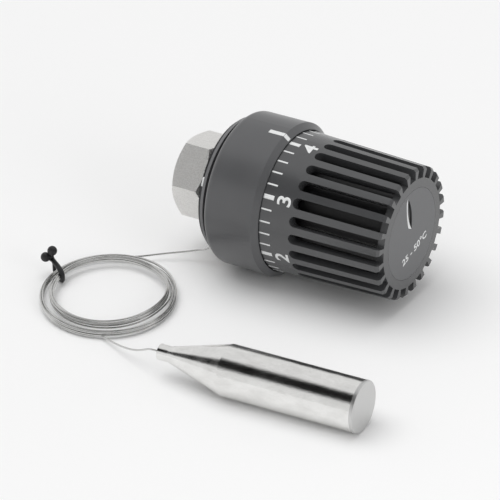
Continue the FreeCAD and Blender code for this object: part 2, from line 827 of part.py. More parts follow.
def make_spring(label, back, front, coil, wire, turns):
    """Round wire wound on a helix about the axis, between two seats."""
    body = doc.addObject("PartDesign::Body", label + "_body")
    sketch = new_sketch(body, label + "_wire", "XZ_Plane")
    start = f"({back} + {wire} + loose_gap)"
    centre = Vector(value(start), value(coil), 0)
    sketch.addGeometry(Part.Circle(centre, Vector(0, 0, 1), value(wire)), False)
    for kind, text in (("DistanceX", start), ("DistanceY", coil)):
        number = sketch.addConstraint(Sketcher.Constraint(kind, -1, 1, 0, 3, value(text)))
        sketch.setExpression(f"Constraints[{number}]", link(text))
    number = sketch.addConstraint(Sketcher.Constraint("Radius", 0, value(wire)))
    sketch.setExpression(f"Constraints[{number}]", link(wire))
    helix = body.newObject("PartDesign::AdditiveHelix", label + "_helix")
    helix.Profile = sketch
    helix.ReferenceAxis = (sketch, ["H_Axis"])
    helix.Mode = 2
    helix.setExpression("Height", link(f"{front} - ({back}) - 2 * {wire} - 2 * loose_gap"))
    helix.setExpression("Turns", link(turns))
    doc.recompute()
    keep(body, label)


def make_gland():
    outside = cylinder("gland_outside", "gland_radius", "gland_tip - gland_foot", "gland_turn",
                       "gland_foot", "gland_place")
    hole = cylinder("gland_hole", "capillary_radius", "gland_tip", "gland_turn",
                    "gland_foot - 1", "gland_place")
    keep(less("gland_drilled", outside, hole), "capillary_gland")


# capillary: runs joined by arcs that touch both; each arc's radius is 0.45 of
# its shorter run, divided by the tangent of half the turn
def tube_path(spots, share):
    """The wire of a route and the radii of its arcs."""
    edges = []
    radii = []
    last = spots[0]
    for before, corner, after in zip(spots, spots[1:], spots[2:]):
        back = before - corner
        ahead = after - corner
        shorter = share * min(back.Length, ahead.Length)
        back.normalize()
        ahead.normalize()
        turn = math.pi - back.getAngle(ahead)
        enter = corner + back * shorter
        leave = corner + ahead * shorter
        radius = shorter / math.tan(turn / 2)
        half_way = (back + ahead).normalize()
        reach = radius / math.cos(turn / 2) - radius
        edges.append(Part.LineSegment(last, enter).toShape())
        edges.append(Part.Arc(enter, corner + half_way * reach, leave).toShape())
        radii.append(round(radius, 1))
        last = leave
    edges.append(Part.LineSegment(last, spots[-1]).toShape())
    return Part.Wire(edges), radii


def make_tube(label, spots, share=0.45):
    """A capillary tube along a route given from the collar's back plane and the axis."""
    radius = value("capillary_radius")
    path, radii = tube_path(spots, share)
    heading = (spots[1] - spots[0]).normalize()
    section = Part.Wire(Part.Circle(spots[0], heading, radius).toShape())
    solid = path.makePipeShell([section], True, False)
    expected = math.pi * radius ** 2 * path.Length
    print(label, "arc radii", radii, "length", round(path.Length, 2),
          "volume share", round(solid.Volume / expected, 4))
    if abs(solid.Volume / expected - 1) > 0.02:
        raise RuntimeError(label + " has the wrong volume")
    tube = doc.addObject("Part::Feature", label + "_tube")
    tube.Shape = solid
    tube.Placement = FreeCAD.Placement(Vector(0, 0, 0), Rotation())
    keep(tube, label)


def gland_spot(x, reach):
    """A point in the gland's own plane, at a distance from the axis."""
    turn = math.radians(value("gland_turn"))
    return Vector(value(x), -value(reach) * math.sin(turn), value(reach) * math.cos(turn))


def make_inner_capillary():
    make_tube("capillary_inner", [
        gland_spot("gland_place", "gland_foot - 0.2"),
        gland_spot("gland_place", "inner_pass"),
        gland_spot("inner_front", "inner_pass"),
        gland_spot("inner_front", "capillary_port"),
        gland_spot(cover_back, "capillary_port"),
    ], 0.22)


# route of the lead from the head to the coil, hand chosen, along x and y from
# the collar's back plane and the axis, with z above the surface
head_route = [
    (-11.0, -16.8, 7.4),
    (-14.6, -20.3, 5.2),
    (-18.6, -21.6, 3.9),
    (-23.2, -22.3, 3.1),
    (-28.0, -23.9, 2.8),
    (-32.9, -28.4, 2.9),
]

# route of the lead from the coil to the remote sensor
sensor_route = [
    (-13.6, -88.3, 1.9),
    (-9.3, -91.2, 2.6),
    (-4.4, -94.2, 4.3),
    (1.0, -97.2, 6.6),
    (7.0, -99.6, 8.8),
    (13.0, -100.9, 10.3),
]


def make_leads():
    lift = Vector(0, 0, -value(axis_height))
    start = gland_spot("gland_place", "gland_tip - 1.5")
    outside = gland_spot("gland_place", "gland_tip + 2.6")
    make_tube("capillary_head_lead", [start, outside] + [Vector(spot) + lift for spot in head_route])
    turn = math.radians(value("sensor_turn"))
    x, side = value("sensor_place_along"), value("sensor_place_side")
    line_up = [Vector(x + reach * math.cos(turn), side + reach * math.sin(turn), value("sensor_radius"))
               for reach in (-value("sensor_neck"), value("sensor_neck") / 3)]
    make_tube("capillary_sensor_lead", [Vector(spot) + lift for spot in sensor_route]
              + [spot + lift for spot in line_up])


def coil_ellipse(name, across, along):
    """A solid elliptic disc that lies at the coil's place."""
    rim = doc.addObject("Part::Ellipse", name + "_rim")
    rim.setExpression("MajorRadius", link(along))
    rim.setExpression("MinorRadius", link(across))
    disc = doc.addObject("Part::Extrusion", name)
    disc.Base = rim
    disc.DirMode = "Custom"
    disc.Dir = Vector(0, 0, 1)
    disc.Solid = True
    disc.setExpression("LengthFwd", link("coil_height"))
    return disc


def make_coil():
    outer = coil_ellipse("coil_outside", "coil_across", "coil_along")
    inner = coil_ellipse("coil_inside", "coil_across - coil_band", "coil_along - coil_band")
    plain = less("coil_ring", outer, inner)
    coil = doc.addObject("Part::Chamfer", "coil_soft")
    coil.Base = plain
    sharp = [number for number, edge in enumerate(plain.Shape.Edges, start=1)
             if isinstance(edge.Curve, Part.Ellipse)]
    coil.Edges = [(number, 1.2, 1.2) for number in sharp]
    doc.recompute()
    keep(coil, "capillary_coil")
    coil.Placement = FreeCAD.Placement(Vector(0, 0, 0), Rotation(Vector(0, 0, 1), value("coil_turn")))
    coil.setExpression("Placement.Rotation.Angle", link("coil_turn * 1deg"))
    coil.setExpression("Placement.Base.x", link(f"coil_place_along - {middle}"))
    coil.setExpression("Placement.Base.y", link("coil_place_side"))
    coil.setExpression("Placement.Base.z", link("coil_lift"))


# tie: a band of rubber round the coil's strands, a stem and two ball ends
def make_tie():
    turn = math.radians(value("tie_turn"))
    lean = turn - math.radians(value("coil_turn"))
    along, across = value("coil_along - coil_band / 2"), value("coil_across - coil_band / 2")
    reach = along * across / math.hypot(across * math.cos(lean), along * math.sin(lean))
    skin = value("tie_skin")
    half = value("coil_band") / 2 + 0.45
    low, high = 0.0, value("coil_lift + coil_height") + 0.2
    width = value("tie_width")
    outer = Part.makeBox(2 * (half + skin), width, high + skin - low, Vector(-half - skin, -width / 2, low))
    inner = Part.makeBox(2 * half, 2 * width, high - low - skin, Vector(-half, -width, low + skin))
    long_edges = [edge for edge in outer.Edges if abs(edge.tangentAt(edge.FirstParameter).y) > 0.99]
    band = outer.makeFillet(skin, long_edges).cut(inner)
    foot = Vector(half - 0.6, 0, high)
    stem_radius, ball = value("tie_stem"), value("tie_ball")
    knot = Part.makeSphere(1.5 * stem_radius, foot + Vector(0, 0, 0.9))
    solid = band.fuse(knot)
    low_ball = Vector(value("low_ball_out"), -value("low_ball_aside"), high + value("low_ball_rise"))
    high_ball = Vector(value("high_ball_out"), value("high_ball_aside"), high + value("high_ball_rise"))
    for tip in (low_ball, high_ball):
        way = tip - foot
        solid = solid.fuse(Part.makeCylinder(stem_radius, way.Length, foot, way))
        solid = solid.fuse(Part.makeSphere(ball, tip))
    solid = solid.removeSplitter()
    tie = doc.addObject("Part::Feature", "tie_band")
    tie.Shape = solid
    keep(tie, "coil_tie")
    place = Vector(value(f"coil_place_along - {middle}") + reach * math.cos(turn),
                   value("coil_place_side") + reach * math.sin(turn), 0)
    tie.setExpression("Placement.Base.x", None)
    tie.setExpression("Placement.Base.z", None)
    tie.Placement = FreeCAD.Placement(place, Rotation(Vector(0, 0, 1), value("tie_turn")))


# remote sensor: a drawn shell with a cone and a neck, closed by an end cap
def make_sensor():
    wall = "sensor_wall"
    cone_end = "(sensor_neck + sensor_cone)"
    far = f"({cone_end} + sensor_cylinder)"
    shell = turned_body("sensor_shell", [
        ("0", "capillary_radius"),
        ("0", "sensor_neck_radius"),
        ("sensor_neck", "sensor_neck_radius"),
        (cone_end, "sensor_radius"),
        (f"{far} - sensor_cap", "sensor_radius"),
        (f"{far} - sensor_cap", f"sensor_radius - {wall}"),
        (cone_end, f"sensor_radius - {wall}"),
        ("sensor_neck", f"sensor_neck_radius - {wall}"),
        ("2", f"sensor_neck_radius - {wall}"),
        ("2", "capillary_radius"),
    ])
    cap = turned_body("sensor_cap", [
        (f"{far} - sensor_cap - sensor_cap_spigot", "0"),
        (f"{far} - sensor_cap - sensor_cap_spigot", f"sensor_radius - {wall} - loose_gap"),
        (f"{far} - sensor_cap", f"sensor_radius - {wall} - loose_gap"),
        (f"{far} - sensor_cap", "sensor_radius"),
        (far, "sensor_radius"),
        (far, "0"),
    ])
    round_circles(cap, "sensor_cap_round", "sensor_cap / 2", [(far, "sensor_radius")])
    for piece, label in ((shell, "sensor_shell"), (cap, "sensor_end_cap")):
        keep(piece, label)
        turned = Rotation(Vector(0, 0, 1), value("sensor_turn"))
        piece.Placement = FreeCAD.Placement(Vector(0, 0, 0), turned)
        piece.setExpression("Placement.Rotation.Angle", link("sensor_turn * 1deg"))
        piece.setExpression("Placement.Base.x", link(f"sensor_place_along - {middle}"))
        piece.setExpression("Placement.Base.y", link("sensor_place_side"))
        piece.setExpression("Placement.Base.z", link("sensor_radius"))


make_union_nut()
make_neck()
make_nut_ring()
make_marker_rings()
make_collar()
make_hold_ring()
make_guide_sleeve()
make_ring_nut()
make_guide_bush()
make_dial()
make_cap()
make_carrier()
make_capsule()
make_bellows()
make_follower()
make_pin()
make_spring("overtravel_spring", f"cup_back + cup_lip + loose_gap + pin_head_width", "bellows_front",
            "inner_coil", "inner_wire", "inner_turns")
make_spring("return_spring", "can_back", "bellows_front", "outer_coil", "outer_wire", "outer_turns")
make_gland()
make_inner_capillary()
make_leads()
make_coil()
make_tie()
make_sensor()
doc.recompute()

for thing in doc.Objects:
    if "Invalid" in thing.State or "Error" in thing.State:
        raise RuntimeError(thing.Name + " failed to build")

os.makedirs("parts", exist_ok=True)
for piece in pieces:
    shape = piece.Shape
    if shape.isNull() or not shape.isValid():
        raise RuntimeError(piece.Label + " has no valid shape")
    shape.exportStep(f"parts/{piece.Label}.step")
    box = shape.BoundBox
    print(piece.Label, "solids", len(shape.Solids), "volume", round(shape.Volume, 1),
          "x", round(box.XMin, 1), round(box.XMax, 1), "y", round(box.YMin, 1), round(box.YMax, 1),
          "z", round(box.ZMin, 1), round(box.ZMax, 1))
print(len(pieces), "pieces")
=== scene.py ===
import math

import bmesh
import bpy
import numpy as np
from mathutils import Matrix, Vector


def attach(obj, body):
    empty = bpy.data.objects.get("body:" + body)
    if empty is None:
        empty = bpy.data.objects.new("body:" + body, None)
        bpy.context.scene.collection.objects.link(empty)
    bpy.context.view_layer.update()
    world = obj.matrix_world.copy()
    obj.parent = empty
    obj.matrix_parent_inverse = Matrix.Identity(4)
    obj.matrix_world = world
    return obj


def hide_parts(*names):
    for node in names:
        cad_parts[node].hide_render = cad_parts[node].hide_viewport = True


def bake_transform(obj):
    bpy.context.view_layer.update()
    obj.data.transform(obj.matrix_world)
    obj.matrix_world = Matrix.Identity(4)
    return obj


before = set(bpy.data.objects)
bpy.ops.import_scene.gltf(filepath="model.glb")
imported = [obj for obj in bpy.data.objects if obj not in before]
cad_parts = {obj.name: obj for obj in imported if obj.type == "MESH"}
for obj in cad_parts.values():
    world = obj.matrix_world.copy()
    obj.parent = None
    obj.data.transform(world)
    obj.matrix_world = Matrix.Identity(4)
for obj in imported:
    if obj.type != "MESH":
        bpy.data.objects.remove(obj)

print("thermostat head: frame loaded,", len(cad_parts), "CAD nodes")
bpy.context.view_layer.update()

mm = 0.001
headFace = 79.9        # the dial's end face from the collar's back plane, mm
headMiddle = 27.7      # from the collar's back plane to the part's origin, mm
axisHeight = 32.65     # the head's axis over the surface, mm

bpy.context.scene.view_settings.view_transform = "Standard"

view = {
    "azimuth": 31.0,
    "elevation": 29.0,
    "lens": 302.4,         # 4200 px of focal length on 500 px
    "sensorWidth": 36,
    "distance": 1.721,
    "aside": -0.0207,      # the head's middle shows right of the picture's middle
    "above": -0.0196,
    "farthest": 50,
}


def makeCamera():
    # place = axis + distance back + aside right + above up, with
    # back = (sin a cos e, -cos a cos e, sin e) for azimuth a and elevation e
    turn, lift = math.radians(view["azimuth"]), math.radians(view["elevation"])
    back = Vector((math.sin(turn) * math.cos(lift), -math.cos(turn) * math.cos(lift), math.sin(lift)))
    right = Vector((math.cos(turn), math.sin(turn), 0))
    up = back.cross(right)
    data = bpy.data.cameras.new("camera")
    data.lens, data.sensor_width = view["lens"], view["sensorWidth"]
    data.clip_end = view["farthest"]
    camera = bpy.data.objects.new("camera", data)
    bpy.context.collection.objects.link(camera)
    camera.location = (Vector((0, 0, axisHeight * mm)) + back * view["distance"]
                       + right * view["aside"] + up * view["above"])
    camera.rotation_mode = "QUATERNION"
    camera.rotation_quaternion = (-back).to_track_quat("-Z", "Y")
    bpy.context.scene.camera = camera


makeCamera()
print("camera made")


class Wire:
    # one output of a node tree; + - * / on it add Math nodes
    def __init__(self, maker, socket):
        self.maker, self.socket = maker, socket

    def maths(self, operation, *values):
        # operation on this value and the others: "POWER", 0.5 is value^0.5
        sockets = dict(enumerate((self, *values)))
        return self.maker.node("ShaderNodeMath", {"operation": operation}, sockets)

    def __add__(self, other):
        return self.maths("ADD", other)

    def __sub__(self, other):
        return self.maths("SUBTRACT", other)

    def __mul__(self, other):
        return self.maths("MULTIPLY", other)

    def __truediv__(self, other):
        return self.maths("DIVIDE", other)

    def __rsub__(self, other):
        return self * -1.0 + other

    def __rtruediv__(self, other):
        return self.maths("POWER", -1.0) * other

    __radd__ = __add__
    __rmul__ = __mul__

    def sine(self):
        return self.maths("SINE")

    def held(self):
        # max(0, min(1, value))
        return self.maths("MINIMUM", 1.0).maths("MAXIMUM", 0.0)

    def above(self, limit):
        # 1 over the limit, else 0
        return self.maths("GREATER_THAN", limit)


class Tree:
    # the nodes of a material or of the world
    def __init__(self, tree):
        self.tree = tree

    def fill(self, made, sockets):
        # each socket gets its link or its value
        for word, entry in sockets.items():
            if isinstance(entry, Wire):
                self.tree.links.new(entry.socket, made.inputs[word])
            else:
                made.inputs[word].default_value = entry

    def node(self, kind, settings=None, sockets=None, out=0):
        # any node: its type, its settings, then the values or links of its sockets
        made = self.tree.nodes.new(kind)
        for word, setting in (settings or {}).items():
            setattr(made, word, setting)
        self.fill(made, sockets or {})
        return Wire(self, made.outputs[out])


class Finish(Tree):
    # one material with a Principled shader
    def __init__(self, name):
        self.material = bpy.data.materials.new(name)
        self.material.use_nodes = True
        super().__init__(self.material.node_tree)

    def place(self, stretch=(1, 1, 1), centre=(0, 0, 0), turn=(0, 0, 0)):
        # object coordinates in metres, moved, turned and then stretched
        spot = self.node("ShaderNodeTexCoord", out="Object")
        spot = self.node("ShaderNodeMapping", {"vector_type": "TEXTURE"},
                         {"Vector": spot, "Location": centre, "Rotation": turn})
        return self.node("ShaderNodeVectorMath", {"operation": "MULTIPLY"}, {0: spot, 1: stretch})

    def parts(self, spot):
        # the x, y and z of a place
        return [self.node("ShaderNodeSeparateXYZ", sockets={0: spot}, out=number) for number in range(3)]

    def aboutAxis(self):
        # x, y and z from a point on the head's axis, and the radius sqrt(y^2 + z^2)
        along, side, up = self.parts(self.place(centre=(0, 0, axisHeight * mm)))
        return along, side, up, (side * side + up * up).maths("POWER", 0.5)

    def noise(self, place, scale, detail=2.0, rough=0.5):
        return self.node("ShaderNodeTexNoise", sockets={
            "Vector": place, "Scale": scale, "Detail": detail, "Roughness": rough})

    def tones(self, share, dark, light):
        # dark + share (light - dark), each a colour or a link
        dark, light = [tone if isinstance(tone, Wire) else (*tone, 1) for tone in (dark, light)]
        return self.node("ShaderNodeMix", {"data_type": "RGBA"}, {0: share, 6: dark, 7: light}, out=2)

    def bump(self, height, strength, distance, under=None):
        sockets = {"Height": height, "Strength": strength, "Distance": distance}
        if under is not None:
            sockets["Normal"] = under
        return self.node("ShaderNodeBump", sockets=sockets)

    def paint(self, **sockets):
        # the shader's sockets by their words, with _ for a blank: Base_Color, Roughness
        shader = self.tree.nodes["Principled BSDF"]
        self.fill(shader, {word.replace("_", " "): entry for word, entry in sockets.items()})
        return self.material


moulded = {
    "grainSize": 0.22,       # spark-eroded grain, mm
    "driftScale": 60,        # clouds of about 17 mm
    "driftShare": 0.6,
    "driftGloss": 0.10,
    "grainGloss": 0.08,
}


def mouldedGrain(made, grainSize, dark, light):
    # tone = mix(dark, light, s drift + (1 - s) grain) with s = driftShare, and the gloss swings by
    # driftGloss (drift - 0.5) + grainGloss (grain - 0.5)
    place = made.place()
    grain = made.noise(place, 1 / (grainSize * mm), 3, 0.6)
    drift = made.noise(place, moulded["driftScale"])
    tone = made.tones(drift * moulded["driftShare"] + grain * (1 - moulded["driftShare"]), dark, light)
    swing = (drift - 0.5) * moulded["driftGloss"] + (grain - 0.5) * moulded["grainGloss"]
    return grain, tone, swing


def grained(name, dark, light, rough, grainSize=moulded["grainSize"], depth=0.012, specular=0.5):
    # moulded plastic: grain and drift in tone, roughness = rough + swing, height = depth grain
    made = Finish(name)
    grain, tone, swing = mouldedGrain(made, grainSize, dark, light)
    return made.paint(
        Base_Color=tone,
        Roughness=swing + rough,
        Specular_IOR_Level=specular,
        Normal=made.bump(grain, 0.55, depth * mm))


dialLook = {
    "dark": (0.050, 0.051, 0.053),
    "light": (0.074, 0.075, 0.078),
    # inner: a near-black tone painted into the slots as their shade
    "inner": (0.006, 0.006, 0.007),
    "rough": 0.24,
    "grainDepth": 0.008,
    "slotShadeFloor": 23.4,       # the radius where the painted slot shade is darkest, mm
    "slotShadeFade": 2.2,         # from there the painted shade takes this much radius to give way to the ribs' tone
    "slotDull": 0.25,
    "faceDepth": 3.0,        # the end face keeps the ribs' tone down to this depth
}


def dialPlastic(name):
    # painted shade in the slots: out = min(1, max(0, (r - slotShadeFloor) / slotShadeFade) + face), tone =
    # mix(inner, plastic, out)
    made = Finish(name)
    grain, outer, swing = mouldedGrain(made, moulded["grainSize"], dialLook["dark"], dialLook["light"])
    along, _, _, radius = made.aboutAxis()
    face = along.above((headFace - dialLook["faceDepth"] - headMiddle) * mm)
    fade = radius / (dialLook["slotShadeFade"] * mm) - dialLook["slotShadeFloor"] / dialLook["slotShadeFade"]
    # out goes to 0 deep in the slots, where the painted shade takes over
    out = (fade.held() + face).held()
    return made.paint(
        Base_Color=made.tones(out, dialLook["inner"], outer),
        Roughness=swing + (1 - out) * dialLook["slotDull"] + dialLook["rough"],
        Specular_IOR_Level=0.75,
        Normal=made.bump(grain, 0.5, dialLook["grainDepth"] * mm))


tooled = {
    "cloudScale": 140,       # clouds of about 7 mm
    "lineShare": 0.7,
    "lineGloss": 0.14,
    "cloudGloss": 0.06,
    "ringScale": 5200,       # turned rings of about 0.2 mm
    "ringGloss": 0.16,
}


def brushed(name, dark, light, rough, stretch=(1, 1, 1), lineSize=0.12, depth=0.004,
            centre=(0, 0, 0), turn=(0, 0, 0)):
    # metal with fine tool lines: noise stretched along one way in tone, gloss and height,
    # with faint clouds: tone = mix(dark, light, s lines + (1 - s) cloud) with s = lineShare
    made = Finish(name)
    lines = made.noise(made.place(stretch, centre, turn), 1 / (lineSize * mm), 3, 0.65)
    cloud = made.noise(made.place(), tooled["cloudScale"], 3)
    share = lines * tooled["lineShare"] + cloud * (1 - tooled["lineShare"])
    swing = (lines - 0.5) * tooled["lineGloss"] + (cloud - 0.5) * tooled["cloudGloss"]
    return made.paint(
        Base_Color=made.tones(share, dark, light),
        Metallic=1.0,
        Roughness=swing + rough,
        Normal=made.bump(lines, 0.5, depth * mm))


def turnedMetal(name, dark, light, rough, depth=0.003):
    # metal turned on the head's axis: noise at (radius, x) makes rings in tone, gloss and height
    made = Finish(name)
    along, _, _, radius = made.aboutAxis()
    rings = made.node("ShaderNodeCombineXYZ", sockets={0: radius, 1: along})
    lines = made.noise(rings, tooled["ringScale"], 3, 0.6)
    return made.paint(
        Base_Color=made.tones(lines, dark, light),
        Metallic=1.0,
        Roughness=(lines - 0.5) * tooled["ringGloss"] + rough,
        Normal=made.bump(lines, 0.5, depth * mm))


nutLook = {
    "dark": (0.74, 0.73, 0.71),
    "light": (1.0, 0.995, 0.98),
    "contrast": 2.2,
    "rough": 0.55,
    "grainSize": 0.55,
    "grainHeight": 0.2,
    "grainGloss": 0.20,
    "lineScale": 3200,
    "lineStretch": 0.12,
    "lineGloss": 0.10,
    "pitch": 1.5,
    "threadHeight": 0.45,
    "threadRadius": 14.3,    # the thread shows inside this radius
    "threadEnd": -15.5,      # and up to this x from the collar's back plane
}


def nutFinish(name):
    # satin nickel: sparkling grain h = grainHeight n(p / grainSize) over drawn lines along x,
    # and in the bore a thread wave h = threadHeight sin(2 pi x / pitch + angle)
    made = Finish(name)
    grain = made.noise(made.place(), 1 / (nutLook["grainSize"] * mm), 3, 0.7)
    lines = made.noise(made.place((nutLook["lineStretch"], 1, 1)), nutLook["lineScale"], 3, 0.6)
    along, side, up, radius = made.aboutAxis()
    wave = (along * (2 * math.pi / (nutLook["pitch"] * mm)) + up.maths("ARCTAN2", side)).sine()
    inside = 1 - radius.above(nutLook["threadRadius"] * mm)
    outwards = 1 - along.above((nutLook["threadEnd"] - headMiddle) * mm)
    fine = made.bump(lines * 0.25 + grain * 0.75, 1.0, nutLook["grainHeight"] * mm)
    share = (lines * 0.3 + grain * 0.7 - 0.5) * nutLook["contrast"] + 0.5
    swing = (lines - 0.5) * nutLook["lineGloss"] + (grain - 0.5) * nutLook["grainGloss"]
    return made.paint(
        Base_Color=made.tones(share, nutLook["dark"], nutLook["light"]),
        Metallic=1.0,
        Roughness=swing + nutLook["rough"],
        Normal=made.bump(wave * (inside * outwards), 1.0, nutLook["threadHeight"] * mm, fine))


ink = {"tone": (0.86, 0.87, 0.87), "dim": 0.86, "speckScale": 3800, "gloss": 0.2, "rough": 0.5}


def printed(name):
    # pad-printed ink: specks in tone and gloss where its cover is uneven
    made = Finish(name)
    speck = made.noise(made.place(), ink["speckScale"], 3)
    dim = tuple(ink["dim"] * part for part in ink["tone"])
    return made.paint(
        Base_Color=made.tones(speck, dim, ink["tone"]),
        Roughness=(speck - 0.5) * ink["gloss"] + ink["rough"],
        Normal=made.bump(speck, 0.3, 0.006 * mm))


sensorSpot = {"x": 22.6, "y": -100.6, "turn": 2.9, "radius": 10.7}
sensorPlace = {
    "centre": ((sensorSpot["x"] - headMiddle) * mm, sensorSpot["y"] * mm, sensorSpot["radius"] * mm),
    "turn": (0, 0, math.radians(sensorSpot["turn"])),
}
shellLook = {
    "dark": (0.70, 0.695, 0.68),
    "light": (0.94, 0.938, 0.925),
    "rough": 0.17,
    "cloudSize": 4.0,
    "cloudContrast": 1.8,
    "cloudGloss": 0.10,
    "speckSize": 0.5,
    "speckGloss": 0.06,
    "height": 0.08,
}


def shellSteel(name):
    # polished steel, a little mottled: clouds of 4 mm and specks of 0.5 mm in tone, gloss and height
    made = Finish(name)
    place = made.place((0.5, 1, 1), **sensorPlace)
    cloud = made.noise(place, 1 / (shellLook["cloudSize"] * mm), 3, 0.6)
    cloud = (cloud - 0.5) * shellLook["cloudContrast"] + 0.5
    speck = made.noise(place, 1 / (shellLook["speckSize"] * mm), 2, 0.6)
    swing = (cloud - 0.5) * shellLook["cloudGloss"] + (speck - 0.5) * shellLook["speckGloss"]
    return made.paint(
        Base_Color=made.tones(cloud * 0.75 + speck * 0.25, shellLook["dark"], shellLook["light"]),
        Metallic=1.0,
        Roughness=swing + shellLook["rough"],
        Normal=made.bump(cloud * 0.8 + speck * 0.2, 0.5, shellLook["height"] * mm))


finishes = {
    "anthracite": grained("anthracite_plastic", (0.078, 0.079, 0.082), (0.110, 0.111, 0.115), 0.31),
    "dialPlastic": dialPlastic("dial_plastic_and_slot_shade"),
    "capPlastic": grained("cap_plastic", (0.082, 0.083, 0.087), (0.110, 0.112, 0.117), 0.40,
                          0.16, 0.008, 0.8),
    # near black for the neck: the plastic's own dark tone, with the shade it sits in between the nut and
    # the collar painted into it
    "black": grained("black_plastic", (0.012, 0.012, 0.013), (0.022, 0.022, 0.024), 0.38, 0.3),
    "greyRing": grained("grey_ring_plastic", (0.16, 0.16, 0.165), (0.21, 0.21, 0.215), 0.45),
    "darkRing": grained("dark_ring_plastic", (0.018, 0.018, 0.020), (0.030, 0.030, 0.033), 0.42),
    "pale": grained("pale_plastic", (0.62, 0.60, 0.55), (0.74, 0.72, 0.67), 0.45),
    "rubber": grained("black_rubber", (0.010, 0.010, 0.011), (0.022, 0.022, 0.023), 0.52, 0.35, 0.02),
    "nut": nutFinish("satin_nickel"),
    "shell": shellSteel("polished_steel"),
    "endDisc": brushed("satin_steel", (0.56, 0.56, 0.555), (0.68, 0.68, 0.675), 0.40,
                       (1, 1, 0.06), 0.14, 0.006, **sensorPlace),
    "steel": turnedMetal("turned_steel", (0.50, 0.50, 0.49), (0.66, 0.66, 0.65), 0.28),
    "brass": turnedMetal("turned_brass", (0.60, 0.43, 0.17), (0.74, 0.56, 0.26), 0.27),
    "spring": brushed("spring_steel", (0.42, 0.42, 0.42), (0.56, 0.56, 0.56), 0.30, lineSize=0.3),
    "wire": brushed("capillary_metal", (0.44, 0.44, 0.43), (0.80, 0.80, 0.79), 0.15, lineSize=0.5),
    "white": printed("white_print"),
    # near black: painted shade for the dark inside of the cap's lens-shaped recess
    "lensShade": grained("lens_painted_shade_black", (0.008, 0.008, 0.008), (0.014, 0.014, 0.015), 0.30),
}
print("finishes made:", len(finishes))

nodeFinish = {
    "union_nut": "nut", "neck": "black", "nut_snap_ring": "spring", "low_marker_ring": "darkRing",
    "high_marker_ring": "greyRing", "collar": "anthracite", "dial_hold_ring": "spring",
    "guide_sleeve": "pale", "ring_nut": "brass", "guide_bush": "brass", "dial_knob": "dialPlastic",
    "dial_cap": "capPlastic", "capsule_carrier": "pale", "capsule_can": "brass",
    "capsule_cover": "brass", "capsule_clip": "spring", "bellows": "brass",
    "bellows_end_plate": "brass", "overtravel_cup": "steel", "thrust_pin": "steel",
    "overtravel_spring": "spring", "return_spring": "spring", "capillary_gland": "brass",
    "capillary_inner": "wire", "sensor_shell": "shell", "sensor_end_cap": "endDisc",
}


def dressNodes():
    # every slot of a CAD node gets the node's finish
    for word, finish in nodeFinish.items():
        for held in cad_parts[word].material_slots:
            held.material = finishes[finish]


dressNodes()
print("CAD nodes dressed:", len(nodeFinish))


def finishPiece(piece, finish, body):
    # a rigid piece: its finish in its material slot, and the body it rides on
    piece.data.materials.clear()
    piece.data.materials.append(finishes[finish])
    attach(piece, body)


def sheetMesh(name, points, wrapRows=False, wrapColumns=False, caps=False):
    # points are (copies, rows, columns, 3), each copy a sheet of its own; point (i, j) makes a quad
    # with (i + 1, j), (i + 1, j + 1) and (i, j + 1), and caps close the first and last rows
    copies, rows, columns, _ = points.shape
    number = np.arange(copies * rows * columns).reshape(copies, rows, columns)
    down = np.concatenate([number, number[:, :1]], axis=1) if wrapRows else number
    both = np.concatenate([down, down[:, :, :1]], axis=2) if wrapColumns else down
    corners = [both[:, :-1, :-1], both[:, 1:, :-1], both[:, 1:, 1:], both[:, :-1, 1:]]
    faces = np.stack(corners, axis=-1).reshape(-1, 4).tolist()
    if caps:
        faces += number[:, 0].tolist() + number[:, -1, ::-1].tolist()
    mesh = bpy.data.meshes.new(name)
    mesh.from_pydata(points.reshape(-1, 3), [], faces)
    mesh.polygons.foreach_set("use_smooth", np.ones(len(mesh.polygons), bool))
    mesh.update()
    piece = bpy.data.objects.new(name, mesh)
    bpy.context.collection.objects.link(piece)
    return piece


def rowPoints(along, side, height):
    # (x from the collar's back, y, z over the axis) in mm to points of the part's frame in metres
    return np.stack(np.broadcast_arrays(along - headMiddle, side, height + axisHeight), axis=-1) * mm


def around(along, radius, turn):
    # y = -r cos a, z = r sin a over the axis: the turn a goes in degrees from -y up towards +z
    angle = np.radians(turn)
    return rowPoints(along, -radius * np.cos(angle), radius * np.sin(angle))


def facedOut(piece):
    # recalculated normals, for closed pieces only
    made = bmesh.new()
    made.from_mesh(piece.data)
    bmesh.ops.recalc_face_normals(made, faces=made.faces)
    made.to_mesh(piece.data)
    made.free()


